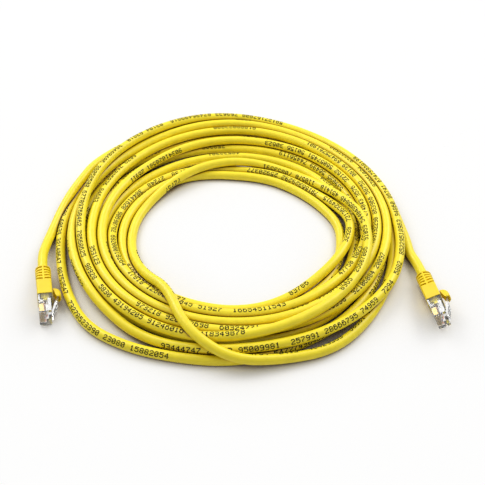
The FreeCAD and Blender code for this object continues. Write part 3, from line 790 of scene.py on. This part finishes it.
def stations():
    """(turn, radius in mm) along the cable, in order."""
    found = []
    for turn, radii in enumerate(TURN_RADII):
        for index, radius in enumerate(radii):
            found.append((min(turn + index / STATIONS, LAST_TURN), radius))
    found += [(turn + degrees / 360, radius) for turn, degrees, radius in CROSSING_RADII]
    return sorted(found)


def smooth_between(points, place):
    """Value of a smooth curve through (place, value) points."""
    index = 0
    while index < len(points) - 2 and points[index + 1][0] <= place:
        index += 1
    (start, low), (end, high) = points[index], points[index + 1]

    def slope(near):
        before = points[max(near - 1, 0)]
        after = points[min(near + 1, len(points) - 1)]
        return (after[1] - before[1]) / (after[0] - before[0])

    width = end - start
    share = (place - start) / width
    square, cube = share ** 2, share ** 3
    return ((2 * cube - 3 * square + 1) * low + (cube - 2 * square + share) * width * slope(index)
            + (3 * square - 2 * cube) * high + (cube - square) * width * slope(index + 1))


def crossing_heights(count):
    """Heights in mm of the stretch that crosses the coil, by the index of the step."""
    first, last = (CROSSING_TURN + CROSSING_HEIGHTS[end][0] / 360 for end in (0, -1))
    return {index: smooth_between(CROSSING_HEIGHTS, (index / FINE - CROSSING_TURN) * 360)
            for index in range(count) if first <= index / FINE <= last}


def resting_heights(radii, heights, diameter):
    """Heights in mm of strands that each rest on the strands laid before, at their present heights.

    The last stretch, from the tuck on, was laid right after the first turn, under the others.
    """
    order = [index / FINE if index / FINE < TUCK_TURN else 1.0 for index in range(len(radii))]
    touch = diameter * PRESSED
    found = []
    for index, radius in enumerate(radii):
        height = diameter / 2
        for other in range(index % FINE, len(radii), FINE):
            gap = abs(radii[other] - radius)
            if order[other] < order[index] and gap < touch:
                height = max(height, heights[other] + math.sqrt(touch ** 2 - gap ** 2))
        found.append(height)
    return found


def stack_heights(radii, diameter):
    """Heights in mm of the laid turns, evened out along the cable."""
    count = len(radii)
    crossing = crossing_heights(count)
    heights = [diameter / 2] * count
    for _ in range(STACK_ROUNDS):
        resting = resting_heights(radii, heights, diameter)
        for index, height in crossing.items():
            resting[index] = height
        top = [max(resting[max(index - PEAK_REACH, 0):index + PEAK_REACH + 1]) for index in range(count)]
        for index in range(count):
            near = top[max(index - BLUR_REACH, 0):index + BLUR_REACH + 1]
            heights[index] = crossing.get(index, sum(near) / len(near))
    return heights


def coil_points(diameter):
    """Control points of the coil."""
    table = stations()
    count = int(LAST_TURN * FINE) + 1
    radii = [smooth_between(table, index / FINE) for index in range(count)]
    heights = stack_heights(radii, diameter / MM)
    points = []
    for index in range(0, count, FINE // COARSE):
        angle = 2 * math.pi * index / FINE
        reach = radii[index] / SPLINE_PULL
        flat = Vector((math.cos(angle), math.sin(angle), 0)) * reach * MM
        points.append(TABLE + COIL_MIDDLE + flat + Vector((0, 0, heights[index] * MM)))
    return points


def lead_end(side):
    """Control points inside a boot and straight behind it."""
    plug = plug_matrix(side)
    leaving = plug.to_3x3() @ Vector((-1, 0, 0))
    return [plug.translation - leaving * (CABLE_SEAM * MM), plug.translation + leaving * LEAD_STRAIGHT]


def route(diameter):
    """Control points of the whole cable, from the left boot to the right boot."""
    points = lead_end("right")
    points += [TABLE + Vector(point) * MM for point in RIGHT_LEAD]
    points += coil_points(diameter)
    points += [TABLE + Vector(point) * MM for point in LEFT_LEAD]
    points += reversed(lead_end("left"))
    return points[::-1]


def spline_line(points):
    """Points read from one open NURBS spline through the route's control points."""
    curve = bpy.data.curves.new("route", "CURVE")
    curve.dimensions = "3D"
    curve.resolution_u = SPLINE_RESOLUTION
    spline = curve.splines.new("NURBS")
    spline.points.add(len(points) - 1)
    for point, place in zip(spline.points, points):
        point.co = (*place, 1.0)
    spline.order_u = SPLINE_ORDER
    spline.use_endpoint_u = True
    holder = bpy.data.objects.new("route", curve)
    bpy.context.scene.collection.objects.link(holder)
    bpy.context.view_layer.update()
    mesh = bpy.data.meshes.new_from_object(holder)
    line = [vertex.co.copy() for vertex in mesh.vertices]
    bpy.data.objects.remove(holder)
    bpy.data.curves.remove(curve)
    bpy.data.meshes.remove(mesh)
    return line


class Line:
    """A line of points with its length, and a frame at any place along it."""

    def __init__(self, points):
        self.points = points
        self.places = [0.0]
        for before, after in zip(points, points[1:]):
            self.places.append(self.places[-1] + (after - before).length)
        self.near = 0

    def frame(self, index):
        """Point, heading, side and up at one of the points."""
        before = self.points[max(index - 1, 0)]
        after = self.points[min(index + 1, len(self.points) - 1)]
        heading = (after - before).normalized()
        aside = heading.cross(Vector((0, 0, 1))).normalized()
        return self.points[index], heading, aside, aside.cross(heading).normalized()

    def around(self, index, angle, radius):
        """Place on the jacket: angle 0 is the top, and 90 degrees is to the right of the heading."""
        point, _, aside, up = self.frame(index)
        return point + (up * math.cos(angle) + aside * math.sin(angle)) * radius

    def at(self, place, angle, radius):
        """Like around, at any length along the line."""
        while self.places[self.near + 1] < place:
            self.near += 1
        while self.places[self.near] > place:
            self.near -= 1
        before, after = self.places[self.near], self.places[self.near + 1]
        share = (place - before) / (after - before)
        return self.around(self.near, angle, radius).lerp(self.around(self.near + 1, angle, radius), share)


def sweep(name, line, radius, sides):
    """Closed tube along a line, with a UV map in metres: along the line, and round it."""
    vertices = []
    for index in range(len(line.points)):
        vertices += [line.around(index, 2 * math.pi * side / sides, radius) for side in range(sides)]
    faces = []
    for index in range(len(line.points) - 1):
        base = index * sides
        for side in range(sides):
            after = (side + 1) % sides
            faces.append((base + side, base + after, base + sides + after, base + sides + side))
    last = len(vertices) - sides
    faces.append(tuple(reversed(range(sides))))
    faces.append(tuple(range(last, last + sides)))
    piece = new_mesh(name, vertices, faces)
    grid = piece.data.uv_layers.new(name="along")
    girth = 2 * math.pi * radius
    for polygon in piece.data.polygons:
        for loop in polygon.loop_indices:
            vertex = piece.data.loops[loop].vertex_index
            side = vertex % sides
            wrapped = side == 0 and polygon.index % sides == sides - 1
            round_place = 1.0 if wrapped else side / sides
            grid.data[loop].uv = (line.places[vertex // sides], round_place * girth)
    for polygon in piece.data.polygons[:-2]:
        polygon.use_smooth = True
    return piece


def painted_contact_shade(piece, line, radius, sides):
    """How near every point of the jacket is to another strand or the table, from 0 to 1, for the shade painted
    along these contact lines.
    """
    tree = KDTree(len(line.points))
    for index, point in enumerate(line.points):
        tree.insert(point, index)
    tree.balance()
    headings = [line.frame(index)[1] for index in range(len(line.points))]
    shade_depths = []
    for number, vertex in enumerate(piece.data.vertices):
        place = line.places[number // sides]
        gap = min(vertex.co.z, PAINTED_SHADE_REACH)
        for _, other, _ in tree.find_range(vertex.co, radius + PAINTED_SHADE_SEARCH):
            if abs(line.places[other] - place) > OWN_STRETCH * radius:
                offset = vertex.co - line.points[other]
                beside = offset - headings[other] * offset.dot(headings[other])
                gap = min(gap, beside.length - radius)
        shade_depths.append(1 - min(max(gap / PAINTED_SHADE_REACH, 0), 1))
    return shade_depths


# Printed marks

def digit_runs(digit):
    """Runs of dots in a digit, as (row, first column, end column)."""
    runs = []
    for row, dots in enumerate(DIGITS[digit].split()):
        column = 0
        while column < len(dots):
            end = column
            while end < len(dots) and dots[end] == "1":
                end += 1
            if end > column:
                runs.append((row, column, end))
            column = end + 1
    return runs


def mark_digits(length):
    """Places and digits of the marks along the cable, in uneven groups with gaps between."""
    chance = random.Random(MARK_SEED)
    place = length - PLAIN_ENDS
    marks = []
    while place > LAST_GROUP:
        for _ in range(chance.choice(GROUP_SIZES)):
            marks.append((place, chance.randrange(len(DIGITS))))
            place -= LETTER_STEP
        place -= LETTER_STEP * chance.choice(GROUP_GAPS)
    return [mark for mark in marks if mark[0] > PLAIN_ENDS]


def length_marks(line, radius):
    """Printed digits just above the jacket, which read with their tops towards the coil's middle."""
    vertices = []
    faces = []
    for place, digit in mark_digits(line.places[-1]):
        roll = sum(swing * math.sin(place / reach + start) for swing, reach, start in ROLLS)
        for row, column, end in digit_runs(digit):
            first, last = column * DOT - INK_SPREAD, end * DOT + INK_SPREAD
            foot = (MIDDLE_ROW - row - 0.5) * DOT - INK_SPREAD
            top = (MIDDLE_ROW - row + 0.5) * DOT + INK_SPREAD
            for along, up in ((first, foot), (last, foot), (last, top), (first, top)):
                vertices.append(line.at(place - along, roll + up / radius, radius + INK_LIFT))
            faces.append(tuple(range(len(vertices) - 4, len(vertices))))
    return new_mesh("length_marks", vertices, faces)


# Stage

def add_table():
    """Large white table top."""
    bpy.ops.object.select_all(action="DESELECT")
    bpy.ops.mesh.primitive_plane_add(size=TABLE_SIZE, location=(0, 0, 0))
    table = bpy.context.object
    table.name = "table_top"
    dress(table, floor_material())


def add_camera(settings):
    """Camera at the photograph's angle, aimed at the table's origin."""
    back = Vector((0, -math.cos(settings.elevation), math.sin(settings.elevation)))
    bpy.ops.object.camera_add(location=TABLE + back * settings.distance,
                              rotation=(math.pi / 2 - settings.elevation, 0, 0))
    camera = bpy.context.object
    camera.data.lens = settings.lens
    camera.data.sensor_width = SENSOR_WIDTH
    camera.data.clip_start = CLIP_START
    bpy.context.scene.camera = camera


def add_lamps(power):
    """Two soft lamps behind the cable, turned to it."""
    for side, place in zip(SIDES, LAMP_PLACES):
        bpy.ops.object.light_add(type="AREA", location=place)
        lamp = bpy.context.object
        lamp.name = side + "_lamp"
        lamp.data.shape = "RECTANGLE"
        lamp.data.size, lamp.data.size_y = LAMP_SIZE
        lamp.data.energy = power
        lamp.rotation_euler = (TABLE - lamp.location).to_track_quat("-Z", "Y").to_euler()


def add_world(strength):
    """Light from all round, which the camera and glossy surfaces see as white."""
    world = bpy.data.worlds.new("studio")
    world.use_nodes = True
    sky = world.node_tree.nodes["Background"]
    sky.inputs["Color"].default_value = (1.0, 1.0, 1.0, 1.0)
    nodes = Nodes(world.node_tree)
    path = nodes.node("ShaderNodeLightPath").outputs
    through = nodes.spread(path["Is Transmission Ray"], low=strength, high=CLEAR_SKY)
    seen = nodes.calculate("MAXIMUM", path["Is Camera Ray"], path["Is Glossy Ray"])
    nodes.join(nodes.calculate("MAXIMUM", seen, through), sky.inputs["Strength"])
    bpy.context.scene.world = world


class PATCHCABLE_OT_stage(Operator):
    """White table, soft lamps and the camera."""

    bl_idname = "patchcable.stage"
    bl_label = "Stage"

    def execute(self, context):
        settings = context.scene.patch_stage
        add_table()
        add_camera(settings)
        add_lamps(settings.lamp)
        add_world(settings.sky)
        context.scene.view_settings.view_transform = "Standard"
        return {"FINISHED"}


class PATCHCABLE_OT_cable(Operator):
    """The wound cable with both leads, as one jacket, and its printed marks."""

    bl_idname = "patchcable.cable"
    bl_label = "Cable"

    def execute(self, context):
        settings = context.scene.patch_cable
        radius = settings.diameter / 2
        line = Line(spline_line(route(settings.diameter)))
        jacket = sweep("cable_jacket", line, radius, settings.sides)
        # Painted shade: the jacket's colour darkens where it nears other strands and the table
        mark_painted_shade(jacket, painted_contact_shade(jacket, line, radius, settings.sides))
        dress(jacket, rubber("jacket_pvc", settings.jacket, "UV", grain=2200, roughness=0.4))
        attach(jacket, "cable")
        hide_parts("lead_left", "coil", "lead_right")
        marks = length_marks(line, radius)
        dress(marks, ink_material(tuple(settings.ink)))
        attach(marks, "cable")
        return {"FINISHED"}


class PATCHCABLE_OT_boots(Operator):
    """Ribbed boots, their hoods over the latches, and the jacket's ends inside."""

    bl_idname = "patchcable.boots"
    bl_label = "Boots"

    def execute(self, context):
        settings = context.scene.patch_cable
        finishes = {
            "yellow_boot": rubber("boot_pvc", settings.boot, "Object", grain=2600, roughness=0.45),
            "yellow_jacket": rubber("jacket_end_pvc", settings.jacket, "Object", grain=2200, roughness=0.4),
        }
        shapes = (make_boot(), make_hood(), make_jacket_end())
        for shape, (solid, name, slot) in zip(shapes, BOOT_PIECES):
            dress(shape, finishes[slot])
            for side in SIDES:
                piece = copy_piece(shape, "%s_%s" % (side, name))
                place_on_plug(piece, side)
                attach(piece, side + "_guard" if solid == "latch_guard" else "cable")
                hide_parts("%s_%s" % (side, solid))
            bpy.data.objects.remove(shape)
        return {"FINISHED"}


class PATCHCABLE_OT_plugs(Operator):
    """Finishes of the plugs' clear bodies, latches, contacts and conductors."""

    bl_idname = "patchcable.plugs"
    bl_label = "Plugs"

    def execute(self, context):
        nodes = frame["nodes"]
        clear = clear_plastic()
        gold = metal("gold_plate", GOLD, roughness=0.3)
        copper = metal("bare_copper", COPPER, roughness=0.3)
        wires = wire_materials()
        for side in SIDES:
            for name in CLEAR_PARTS:
                dress(nodes["%s_%s" % (side, name)], clear)
            dress(nodes[side + "_contact_blades"], gold)
            dress(nodes[side + "_copper_cores"], copper)
            for number, material in enumerate(wires, start=1):
                dress(nodes["%s_wire_%d" % (side, number)], material)
        return {"FINISHED"}


class PATCHCABLE_PT_panel(Panel):
    """Buttons that build the cable piece by piece."""

    bl_label = "Patch Cable"
    bl_space_type = "VIEW_3D"
    bl_region_type = "UI"
    bl_category = "Patch Cable"

    def draw(self, context):
        for operator in OPERATORS:
            self.layout.operator(operator.bl_idname)


OPERATORS = (PATCHCABLE_OT_stage, PATCHCABLE_OT_cable, PATCHCABLE_OT_boots, PATCHCABLE_OT_plugs)
CLASSES = (CableSettings, StageSettings, *OPERATORS, PATCHCABLE_PT_panel)


def register():
    for item in CLASSES:
        bpy.utils.register_class(item)
    bpy.types.Scene.patch_cable = PointerProperty(type=CableSettings)
    bpy.types.Scene.patch_stage = PointerProperty(type=StageSettings)


def unregister():
    del bpy.types.Scene.patch_cable
    del bpy.types.Scene.patch_stage
    for item in reversed(CLASSES):
        bpy.utils.unregister_class(item)


def main():
    register()
    bpy.ops.patchcable.stage()
    bpy.ops.patchcable.cable()
    bpy.ops.patchcable.boots()
    bpy.ops.patchcable.plugs()


if __name__ == "__main__":
    main()
